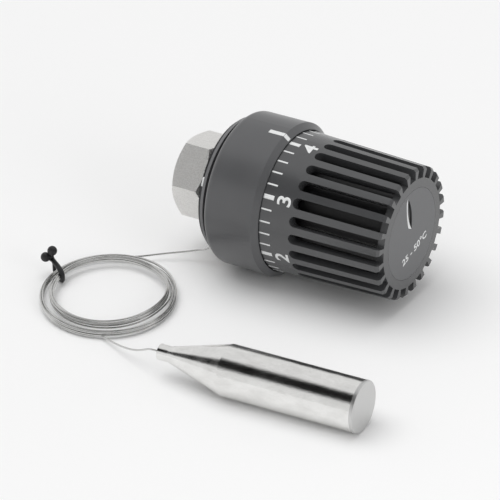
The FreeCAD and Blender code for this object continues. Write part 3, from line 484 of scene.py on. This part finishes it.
capillary = {
    "radius": 0.4,
    "length": 1.88,
    "turns": 10.546,
    "cutStart": 0.03,        # turns left out where the leads join
    "cutEnd": 0.02,
    "pointsPerTurn": 24,
    "centre": (-27.5, -60.0),
    "along": 32.6,
    "across": 28.6,
    "ellipseTurn": 115.0,
    "start": 99.7,           # where the lead from the head joins the coil
    "crossing": 395.0,       # where the turns change places
    "crossingHalf": 0.10,    # half of the share of a turn that the change takes
    "wander": (0.10, 0.06),  # how far a turn strays, once and twice a turn
    "tie": 172.5,            # the tie's place round the coil
    # places of the turns in the bundle: inwards from the outer rim, height over the surface
    "places": [(0.3, 2.2), (0.2, 3.1), (1.1, 3.5), (4.7, 4.7), (5.6, 5.3), (6.4, 4.8),
               (6.4, 3.9), (5.7, 3.3), (5.1, 2.6), (1.3, 1.7), (0.3, 1.35)],
    "middle": (2.95, 3.2),   # the places spread from here
    "middleRim": 2.75,
    "tiedSpread": 0.78,
    "freeSpread": 0.36,      # more than at the tie, opposite it
    "sink": 0.45,
    "narrowAt": 31.0,        # the bundle is pressed together there, over about this many degrees
    "narrowOver": 34.0,
    "narrowShare": 0.42,
    "narrowRise": 0.3,
    # the two leads: x from the collar's back plane, y, height over the surface
    "headLead": [(-7.0, -12.665, 12.38), (-7.0, -14.838, 8.905), (-8.6, -15.3, 7.4), (-11.9, -14.9, 6.0),
                 (-16.0, -15.8, 4.8), (-20.1, -17.1, 3.7), (-23.8, -18.9, 3.1), (-27.3, -21.2, 2.7),
                 (-31.0, -24.6, 2.6), (-34.2, -27.4, 2.5)],
    "sensorLead": [(-13.6, -88.6, 1.4), (-9.9, -89.9, 1.6), (-7.1, -91.1, 1.9), (-0.5, -94.0, 3.0),
                   (5.8, -96.5, 4.6), (10.4, -97.8, 6.2), (14.2, -98.9, 8.2), (17.2, -100.3, 10.2),
                   (20.0, -100.73, 10.7), (24.131, -100.522, 10.7)],
}


def coilPlace(turned, rim, height):
    # an ellipse with half axes (along - rim) and (across - rim), turned about z by ellipseTurn:
    # near = (along - rim) cos a, far = (across - rim) sin a, a = turned - ellipseTurn
    angle = np.radians(turned - capillary["ellipseTurn"])
    lean = math.radians(capillary["ellipseTurn"])
    near = (capillary["along"] - rim) * np.cos(angle)
    far = (capillary["across"] - rim) * np.sin(angle)
    x = near * math.cos(lean) - far * math.sin(lean) + capillary["centre"][0]
    y = near * math.sin(lean) + far * math.cos(lean) + capillary["centre"][1]
    return np.stack(np.broadcast_arrays(x, y, height), axis=-1)


def bundlePlace(turned, place):
    # away = (1 - cos(a - tie)) / 2 goes from 0 at the tie to 1 opposite it, and the places spread
    # from the bundle's middle by tiedSpread + freeSpread away, less where it is pressed together
    away = (1 - np.cos(np.radians(turned - capillary["tie"]))) / 2
    spread = capillary["tiedSpread"] + capillary["freeSpread"] * away
    places = np.array(capillary["places"])
    index = np.arange(len(places))
    rim = np.interp(place, index, places[:, 0])
    height = np.interp(place, index, places[:, 1])
    swing = (turned - capillary["narrowAt"] + 180) % 360 - 180
    narrow = capillary["narrowShare"] * np.exp(-(swing / capillary["narrowOver"]) ** 2)
    middleRim, middleHeight = capillary["middle"]
    rim = capillary["middleRim"] + (rim - middleRim) * spread * (1 - narrow)
    height = middleHeight + (height - middleHeight) * spread * (1 + capillary["narrowRise"] * narrow)
    return rim, height - capillary["sink"] * away


def makeCapillary():
    # turn by turn round the ellipse, each turn at its place in the bundle, and from place to place
    # by the smooth step s = t^2 (3 - 2 t) about the crossing
    count = round(capillary["turns"] * capillary["pointsPerTurn"])
    part = np.linspace(capillary["cutStart"], capillary["turns"] - capillary["cutEnd"], count)
    turned = capillary["start"] + 360 * part
    crossed = part - (capillary["crossing"] - capillary["start"]) / 360 + 0.5
    whole = np.floor(crossed)
    half = capillary["crossingHalf"]
    step = np.clip((crossed - whole - (0.5 - half)) / (2 * half), 0, 1)
    place = np.clip(whole + step * step * (3 - 2 * step), 0, len(capillary["places"]) - 1)
    rim, height = bundlePlace(turned, place)
    once, twice = capillary["wander"]
    rim = rim + once * np.sin(np.radians(turned) + 1.7 * place)
    rim = rim + twice * np.sin(np.radians(turned * 2) + 2.3 * place)
    route = np.concatenate([capillary["headLead"], coilPlace(turned, rim, height), capillary["sensorLead"]])
    route[:, 0] -= headMiddle
    curve = bpy.data.curves.new("capillary", "CURVE")
    curve.dimensions = "3D"
    curve.bevel_depth = capillary["radius"] * mm
    curve.bevel_resolution = 3
    curve.resolution_u = 5
    curve.use_fill_caps = True
    spline = curve.splines.new("NURBS")
    spline.points.add(len(route) - 1)
    weighted = np.concatenate([route * mm, np.ones((len(route), 1))], axis=1)
    spline.points.foreach_set("co", weighted.ravel())
    spline.order_u = 3
    spline.use_endpoint_u = True
    cord = bpy.data.objects.new("capillary", curve)
    bpy.context.collection.objects.link(cord)
    finishPiece(cord, "wire", "root")
    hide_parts("capillary_head_lead", "capillary_coil", "capillary_sensor_lead")
    return cord, route[0] * mm


capillaryCord, capillaryExit = makeCapillary()
print("capillary made")


tie = {
    "turn": capillary["tie"],
    "rim": 2.7,
    "thickness": 1.05,
    "taper": (0.95, 0.8),
    "ball": 2.05,
    # the loop from the knot round the bundle and back: outwards, along the turns, height, radius
    "loop": [(4.9, 0.7, 7.7, 0.9), (4.0, 1.0, 7.3, 1.0), (2.5, 1.6, 7.0, 1.05), (-1.0, 3.2, 6.6, 1.1),
             (-3.8, 4.3, 5.4, 1.1), (-4.5, 4.6, 3.2, 1.0), (-4.0, 4.2, 1.3, 0.8), (-1.5, 3.2, 0.75, 0.6),
             (1.6, 1.4, 0.75, 0.6), (3.9, 0.2, 1.3, 0.7), (4.5, -0.5, 3.1, 0.8), (4.5, -0.6, 5.0, 0.9),
             (4.8, -0.2, 6.6, 0.9), (4.9, 0.5, 7.7, 0.9)],
    "stems": [[(4.9, 0.6, 7.6), (5.6, 1.8, 8.0), (5.7, 3.4, 9.1)],
              [(4.9, 0.6, 7.6), (4.3, 1.2, 9.6), (3.3, 1.9, 12.2)]],
}


def smoothLine(corners, steps):
    # a uniform quadratic B-spline with both ends kept: between the halves of two sides
    # p = a (1 - t)^2 + 2 b t (1 - t) + c t^2
    corners = np.array(corners, float)
    padded = np.concatenate([2 * corners[:1] - corners[1:2], corners, 2 * corners[-1:] - corners[-2:-1]])
    share = np.linspace(0, 1, steps, endpoint=False)[:, None]
    before, here, after = padded[:-2, None], padded[1:-1, None], padded[2:, None]
    line = (before + here) / 2 * (1 - share) ** 2 + here * 2 * share * (1 - share)
    line = line + (here + after) / 2 * share ** 2
    return np.concatenate([line.reshape(-1, corners.shape[1]), corners[-1:]])


def tubePoints(line, radius, sides=16, level=(0.05, 0.995, 0.08)):
    # p = line + r (across cos a + over sin a), across = tangent x level, over = across x tangent
    tangent = np.gradient(line, axis=0)
    tangent /= np.linalg.norm(tangent, axis=1, keepdims=True)
    across = np.cross(tangent, np.array(level))
    across /= np.linalg.norm(across, axis=1, keepdims=True)
    over = np.cross(across, tangent)
    angle = np.linspace(0, 2 * math.pi, sides, endpoint=False)[None, :, None]
    radius = np.broadcast_to(np.asarray(radius, float).reshape(-1, 1, 1), (len(line), 1, 1))
    return line[:, None] + radius * (across[:, None] * np.cos(angle) + over[:, None] * np.sin(angle))


def ballPoints(centre, radius, rows=18, columns=28, pole=0.04):
    # p = centre + r (sin p cos t, sin p sin t, cos p), closed by small rings at the poles
    polar = np.linspace(pole, math.pi - pole, rows)[:, None]
    turn = np.linspace(0, 2 * math.pi, columns, endpoint=False)[None, :]
    return np.array(centre) + radius * np.stack(
        [np.sin(polar) * np.cos(turn), np.sin(polar) * np.sin(turn), np.cos(polar) + 0 * turn], axis=-1)


def makeTie():
    # spot = x outward + y forward + z up from the coil's middle line at the tie's turn:
    # a loop round the bundle, and two stems that each end in a ball
    middleSpot = coilPlace(np.array([tie["turn"]]), tie["rim"], 0.0)[0]
    angle = math.radians(tie["turn"])
    outward = np.array([math.cos(angle), math.sin(angle), 0])
    forward = np.array([-math.sin(angle), math.cos(angle), 0])
    upward = np.array([0, 0, 1])

    def tieMesh(name, points):
        spot = points[..., :1] * outward + points[..., 1:2] * forward + points[..., 2:] * upward
        spot = (spot + middleSpot - np.array([headMiddle, 0, 0])) * mm
        return sheetMesh(name, spot[None], wrapColumns=True, caps=True)

    loop = smoothLine(tie["loop"], 8)
    pieces = [tieMesh("tie_loop", tubePoints(loop[:, :3], loop[:, 3]))]
    for number, stem in enumerate(tie["stems"]):
        line = smoothLine(stem, 8)
        width = tie["thickness"] * np.linspace(*tie["taper"], len(line))
        pieces.append(tieMesh(f"tie_stem_{number}", tubePoints(line, width)))
        pieces.append(tieMesh(f"tie_ball_{number}", ballPoints(stem[-1], tie["ball"])))
    for piece in pieces:
        facedOut(piece)
        finishPiece(piece, "rubber", "root")
    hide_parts("coil_tie")
    return pieces


tiePieces = makeTie()
print("tie made")


# springs and bellows change length with the mechanism; here each is made as a mesh at one length
springs = {
    "return_spring": {"back": 13.0, "front": 36.0, "coil": 7.65, "turns": 6,
                      "ends": ("capsule", "follower")},
    "overtravel_spring": {"back": 21.0, "front": 36.0, "coil": 4.1, "turns": 5,
                          "ends": ("pin", "follower")},
}
springWire = {"radius": 0.45, "gap": 0.1, "pointsPerTurn": 36, "sides": 12}
bellows = {
    "back": 13.0,
    "front": 36.0,
    "inner": 8.7,
    "outer": 13.6,
    "skin": 0.4,
    "folds": 7,
    "rowsPerFold": 20,
    "steepness": 2.2,
    "ends": ("capsule", "follower"),
}


def blendPiece(piece, finish, node, settings):
    # the piece's normals face out, it gets its finish and its mesh is baked where it stands, and the CAD
    # node it replaces is hidden; the ends' places are worked out, but no point moves with them
    facedOut(piece)
    piece.data.materials.append(finishes[finish])
    start, end = rowPoints(np.array([settings["back"], settings["front"]]), 0, 0)
    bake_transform(piece)
    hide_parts(node)


def makeSprings():
    # a helix about the axis: x = back + share (front - back), turn = 90 - 360 turns share
    for word, spring in springs.items():
        seat = springWire["radius"] + springWire["gap"]
        share = np.linspace(0, 1, spring["turns"] * springWire["pointsPerTurn"] + 1)
        along = spring["back"] + seat + share * (spring["front"] - spring["back"] - 2 * seat)
        line = around(along, spring["coil"], 90 - 360 * spring["turns"] * share) / mm
        points = tubePoints(line, springWire["radius"], springWire["sides"], level=(1, 0, 0)) * mm
        piece = sheetMesh(word + "_wire", points[None], wrapColumns=True, caps=True)
        blendPiece(piece, "spring", word, spring)


def makeBellows():
    # r = middle - half tanh(k cos(2 pi (folds share - 1 / 8))) / tanh(k), and a skin inside it
    share = np.linspace(0, 1, bellows["folds"] * bellows["rowsPerFold"] + 1)
    wave = np.tanh(bellows["steepness"] * np.cos(2 * math.pi * (bellows["folds"] * share - 1 / 8)))
    middle, half = (bellows["outer"] + bellows["inner"]) / 2, (bellows["outer"] - bellows["inner"]) / 2
    radius = middle - half * wave / math.tanh(bellows["steepness"])
    along = bellows["back"] + share * (bellows["front"] - bellows["back"])
    outside = np.stack([along, radius], axis=1)
    inside = np.stack([along, radius - bellows["skin"]], axis=1)
    profile = np.concatenate([outside, inside[::-1]])
    turn = np.linspace(0, 360, 96, endpoint=False)[None, :]
    points = around(profile[:, :1], profile[:, 1:], turn)[None]
    piece = sheetMesh("bellows_skin", points, wrapRows=True, wrapColumns=True)
    blendPiece(piece, "brass", "bellows", bellows)


makeSprings()
makeBellows()
print("springs and bellows made")


# prints are thin sheets: lift is how far one stands over its surface, skin how thick it is
prints = {"lift": 0.04, "faceLift": 0.03, "skin": 0.09, "faceSkin": 0.06}


def skinned(piece, finish, body, thickness=prints["skin"]):
    # the sheet gets its thickness inwards, so that it sits in the surface under it
    finishPiece(piece, finish, body)
    skin = piece.modifiers.new("skin", "SOLIDIFY")
    skin.thickness = thickness * mm
    skin.offset = -1


def bandAcross(width, radius, columns):
    # turns in degrees across a print of a width on a radius: -a / 2 to a / 2, a = width / radius
    return np.linspace(-0.5, 0.5, columns)[None, None, :] * np.degrees(width / radius)


# the dial's scale
scale = {
    "mouth": 25.4,
    "radius": 29.65,
    "endRadius": 28.0,
    "end": headFace,
    "atIndex": 4,            # the number that meets the index
    "turn": 80.0,            # and its degrees from -y up
    "numberPitch": 50.8,
    "intervals": 5,
    "numbers": 7,
    "tickFrom": 25.6,
    "tickTo": 30.4,
    "minorWidth": 0.68,
    "majorWidth": 1.9,
    "digitTop": 31.9,
    "digitHeight": 6.2,
    "digitSpread": 1.18,
    "digitBold": 0.018,
}


def dialRadius(along):
    # a straight taper from the radius at the collar's mouth to the end face's
    share = (along - scale["mouth"]) / (scale["end"] - scale["mouth"])
    return scale["radius"] + (scale["endRadius"] - scale["radius"]) * np.clip(share, 0, 1)


def makeTicks():
    # tick n stands at turn + (n - n of the number at the index) pitch / intervals on the taper
    count = (scale["numbers"] - 1) * scale["intervals"] + 1
    number = np.arange(count)
    step = scale["numberPitch"] / scale["intervals"]
    turn = scale["turn"] + (number - (scale["atIndex"] - 1) * scale["intervals"]) * step
    width = np.where(number % scale["intervals"] == 0, scale["majorWidth"], scale["minorWidth"])
    along = np.linspace(scale["tickFrom"], scale["tickTo"], 7)[None, :, None]
    across = bandAcross(width[:, None, None], scale["radius"], 5)
    points = around(along, dialRadius(along) + prints["lift"], turn[:, None, None] + across)
    skinned(sheetMesh("scale_ticks", points), "white", "dial")


def textMesh(name, words, height, offset=0.0, length=None, longest=0.7):
    # flat lettering as a mesh in mm: y times height / its own height, x also to the length if given,
    # and edges over the longest are halved
    curve = bpy.data.curves.new(name, "FONT")
    curve.body = words
    curve.size = 1.0
    curve.offset = offset
    curve.resolution_u = 6
    curve.align_x = "CENTER"
    holder = bpy.data.objects.new(name, curve)
    bpy.context.collection.objects.link(holder)
    mesh = bpy.data.meshes.new_from_object(holder)
    bpy.data.objects.remove(holder)
    spots = np.empty(len(mesh.vertices) * 3)
    mesh.vertices.foreach_get("co", spots)
    spots = spots.reshape(-1, 3)
    spots *= height / np.ptp(spots[:, 1])
    if length is not None:
        spots[:, 0] *= length / np.ptp(spots[:, 0])
    spots[:, 1] -= spots[:, 1].min()
    mesh.vertices.foreach_set("co", spots.ravel())
    cut = bmesh.new()
    cut.from_mesh(mesh)
    bmesh.ops.triangulate(cut, faces=cut.faces)
    for _ in range(3):
        long = [edge for edge in cut.edges if edge.calc_length() > longest]
        if long:
            bmesh.ops.subdivide_edges(cut, edges=long, cuts=1)
            bmesh.ops.triangulate(cut, faces=cut.faces)
    cut.to_mesh(mesh)
    cut.free()
    return mesh


def layOn(name, mesh, place):
    # moves a flat mesh's points to place(x, y), with x and y in mm, in the part's frame
    spots = np.empty(len(mesh.vertices) * 3)
    mesh.vertices.foreach_get("co", spots)
    spots = spots.reshape(-1, 3)
    mesh.vertices.foreach_set("co", place(spots[:, 0], spots[:, 1]).ravel())
    mesh.name = name
    mesh.update()
    piece = bpy.data.objects.new(name, mesh)
    bpy.context.collection.objects.link(piece)
    return piece


def makeNumbers():
    # a digit's top points to the collar, so its x turns round the dial and its y runs back along it
    for number in range(1, scale["numbers"] + 1):
        mesh = textMesh(f"number_{number}", str(number), scale["digitHeight"], scale["digitBold"])
        turn = scale["turn"] + (number - scale["atIndex"]) * scale["numberPitch"]
        baseline = scale["digitTop"] + scale["digitHeight"]

        def place(x, y):
            along = baseline - y
            across = np.degrees(x * scale["digitSpread"] / scale["radius"])
            return around(along, dialRadius(along) + prints["lift"], turn + across)

        piece = layOn(f"number_{number}", mesh, place)
        skinned(piece, "white", "dial")


makeTicks()
makeNumbers()
print("scale made")


# the index on the collar
indexBar = {
    "turn": 80.6,
    "width": 2.1,
    "radius": 32.6,
    # along the collar's surface and over its bevelled mouth: x and radius
    "line": [(16.0, 32.62), (19.5, 32.63), (23.0, 32.65), (23.35, 32.50), (24.3, 31.5), (25.25, 30.5)],
    "skin": 0.12,
}


def makeIndexBar():
    # the line's points, with 25 steps between its ends, swept across the bar's width
    line = np.array(indexBar["line"])
    index = np.arange(len(line))
    share = np.linspace(0, len(line) - 1, 26)
    along = np.interp(share, index, line[:, 0])[None, :, None]
    radius = np.interp(share, index, line[:, 1])[None, :, None] + prints["lift"]
    across = bandAcross(indexBar["width"], indexBar["radius"], 7)
    points = around(along, radius, indexBar["turn"] + across)
    skinned(sheetMesh("index_bar", points), "white", "root", indexBar["skin"])


makeIndexBar()

# the small white mark on the dark marker ring
marker = {"radius": 27.4, "back": -4.6, "front": -3.4, "margin": 0.1, "turn": 26.0, "width": 3.9}


def makeMark():
    # a patch on the ring's rim: its width round the rim, and the rim's width less a margin at each side
    ends = marker["back"] + marker["margin"], marker["front"] - marker["margin"]
    along = np.linspace(*ends, 4)[None, :, None]
    across = bandAcross(marker["width"], marker["radius"], 9)
    points = around(along, marker["radius"] + prints["lift"], marker["turn"] + across)
    skinned(sheetMesh("marker_line", points), "white", "low_marker")


makeMark()
print("index marks made")

# the cap's lettering, its lens-shaped recess and the white edge beside it
cap = {
    "face": headFace,
    "words": "25 - 50°C",
    "letterHeight": 3.3,
    "letterBold": 0.02,
    "wordsLength": 20.4,
    "wordTurn": 15.0,        # degrees that the cap's up way leans from +z towards -y
    "wordDown": 9.8,
    "wordAside": 0.3,
    "lensTurn": 11.5,
    "lensFrom": 2.6,
    "lensLength": 15.4,
    "lensWidth": 3.0,
    "lensDepth": 0.6,
    "shadeLift": 0.02,         # the painted shade in the recess over its floor, and its thickness
    "shadeSkin": 0.04,
    "shadeShare": 0.99,        # of the recess's width
    "tip": 0.004,            # share of the lens left out at each tip
    "edgeLeast": 0.4,
    "edgeLow": 1.5,
    "edgeHigh": 0.8,
    "edgeGrow": (9, 12),     # the edge comes up from nothing over 1/9 and 1/12 of its length
}


def capPlace(across, up, lean, along):
    # y = across cos a - up sin a, z = across sin a + up cos a, as seen from +x and leaned by a
    angle = math.radians(lean)
    side = across * math.cos(angle) - up * math.sin(angle)
    height = across * math.sin(angle) + up * math.cos(angle)
    return rowPoints(along, side, height)


def makeCapWords():
    # lettering on the face, wordDown under the middle before the lean
    mesh = textMesh("cap_words", cap["words"], cap["letterHeight"], cap["letterBold"], cap["wordsLength"])

    def place(x, y):
        face = cap["face"] + prints["faceLift"]
        return capPlace(x + cap["wordAside"], y - cap["wordDown"], cap["wordTurn"], face)

    piece = layOn("cap_words", mesh, place)
    skinned(piece, "white", "dial", prints["faceSkin"])


def lensArc(share, width):
    # half width of a lens of two arcs: sqrt(r^2 - (length (share - 1/2))^2) - (r - width / 2),
    # with r = (length^2 + width^2) / (4 width)
    length = cap["lensLength"]
    radius = (length ** 2 / 4 + width ** 2 / 4) / width
    return np.sqrt(radius ** 2 - (length * (share - 0.5)) ** 2) - (radius - width / 2)


def makeLens():
    # near-black painted shade between the two arcs on the recess's floor, for the recess's dark inside, and
    # on the face a white crescent outwards from the left arc, of width least + low (1 - share)^2 + high
    # share^3
    share = np.linspace(cap["tip"], 1 - cap["tip"], 60)[:, None]
    half = lensArc(share, cap["lensWidth"])
    up = cap["lensFrom"] + share * cap["lensLength"]
    side = np.linspace(-1, 1, 9)[None, :] * half * cap["shadeShare"]
    floor = cap["face"] - cap["lensDepth"] + cap["shadeLift"]
    black = capPlace(side, up, cap["lensTurn"], floor)[None]
    skinned(sheetMesh("lens_painted_shade", black), "lensShade", "dial", cap["shadeSkin"])
    width = cap["edgeLeast"] + cap["edgeLow"] * (1 - share) ** 2 + cap["edgeHigh"] * share ** 3
    grow, shrink = cap["edgeGrow"]
    width = width * np.minimum(1, share * grow) * np.minimum(1, (1 - share) * shrink)
    edge = -half - np.linspace(0, 1, 6)[None, :] * width
    white = capPlace(edge, up, cap["lensTurn"], cap["face"] + prints["faceLift"])[None]
    skinned(sheetMesh("lens_edge", white), "white", "dial", prints["faceSkin"])


makeCapWords()
makeLens()
print("cap marks made")

studio = {
    "floorTone": (0.93, 0.93, 0.93),
    "floorSpan": 6.0,
    "floorDrop": 0.0001,
    # the world's tone and strength: as light on the part, and as the camera, metal and glass see it
    "ambient": ((1, 1, 1, 1), 0.52),
    "mirrored": ((0.8, 0.8, 0.8, 1), 1.0),
    # dark bands that only reflections see: low and high in degrees from -y up to +z, and a soft edge
    "bands": {
        "dark_band": {"low": 24.0, "high": 76.0, "fade": 13.0, "reach": 1.1, "half": 1.8, "turn": 0.0},
        "side_band": {"low": 2.0, "high": 42.0, "fade": 12.0, "reach": 1.2, "half": 0.7, "turn": 68.0},
    },
    "lamps": {
        "key": {"kind": "SUN", "spot": (-0.35, -0.15, 1.35), "aim": (0, -0.03, 0.02),
                "settings": {"energy": 1.42, "angle": math.radians(60)}},
        "fill": {"kind": "AREA", "spot": (1.15, -0.45, 0.5), "aim": (0.03, 0, 0.03),
                 "settings": {"shape": "DISK", "size": 0.7, "energy": 3.0}},
    },
}


def makeFloor():
    # a square of twice the span, a hair under the part's surface, with faint specks
    span = studio["floorSpan"]
    points = np.array([[[-span, -span, 0], [span, -span, 0]], [[-span, span, 0], [span, span, 0]]])[None]
    floor = sheetMesh("floor", points)
    made = Finish("pale_floor")
    speck = made.noise(made.place(), 900)
    tone = studio["floorTone"]
    dim = tuple(0.99 * part for part in tone)
    made.paint(Base_Color=made.tones(speck, dim, tone), Roughness=0.9, Specular_IOR_Level=0.1)
    floor.data.materials.append(made.material)
    floor.location.z = -studio["floorDrop"]


def makeWorld():
    # light = mix(ambient, mirrored, min(1, camera ray + glossy ray + transmission ray))
    world = bpy.data.worlds.new("studio")
    bpy.context.scene.world = world
    world.use_nodes = True
    made = Tree(world.node_tree)
    ambient, shown = [made.node("ShaderNodeBackground", sockets={"Color": tone, "Strength": strength})
                      for tone, strength in (studio["ambient"], studio["mirrored"])]
    seen, glossy, through = [made.node("ShaderNodeLightPath", out=f"Is {ray} Ray")
                             for ray in ("Camera", "Glossy", "Transmission")]
    share = (seen + (glossy + through)).held()
    mixed = made.node("ShaderNodeMixShader", sockets={0: share, 1: ambient, 2: shown})
    made.fill(world.node_tree.nodes["World Output"], {"Surface": mixed})


def makeBand(name, low, high, fade, reach, half, turn):
    # part of a cylinder about x: y = -reach cos a, z = reach sin a, from low to high, with
    # alpha = min(1, (a - low) / fade, (high - a) / fade)
    angle = np.radians(np.linspace(low, high, 40))[:, None]
    along = np.linspace(-half, half, 2)[None, :]
    spots = np.broadcast_arrays(along, -reach * np.cos(angle), reach * np.sin(angle))
    card = sheetMesh(name, np.stack(spots, axis=-1)[None])
    made = Finish(name + "_tone")
    _, side, up = made.parts(made.place())
    lift = up.maths("ARCTAN2", side * -1.0) * (180 / math.pi)
    alpha = ((lift - low) / fade).maths("MINIMUM", (high - lift) / fade).held()
    made.paint(Base_Color=(0.01, 0.01, 0.01, 1), Roughness=1.0, Specular_IOR_Level=0.0, Alpha=alpha)
    card.data.materials.append(made.material)
    card.visible_camera = card.visible_diffuse = card.visible_shadow = False
    card.rotation_euler.z = math.radians(turn)


def makeLamp(name, kind, spot, aim, settings):
    # a lamp at spot that shines to aim, unseen in reflections
    data = bpy.data.lights.new(name, kind)
    for word, setting in settings.items():
        setattr(data, word, setting)
    lamp = bpy.data.objects.new(name, data)
    bpy.context.collection.objects.link(lamp)
    lamp.location = spot
    lamp.visible_glossy = False
    lamp.rotation_mode = "QUATERNION"
    lamp.rotation_quaternion = (Vector(aim) - Vector(spot)).to_track_quat("-Z", "Y")


makeFloor()
makeWorld()
for bandName, band in studio["bands"].items():
    makeBand(bandName, **band)
for lampName, lamp in studio["lamps"].items():
    makeLamp(lampName, **lamp)
print("studio made")
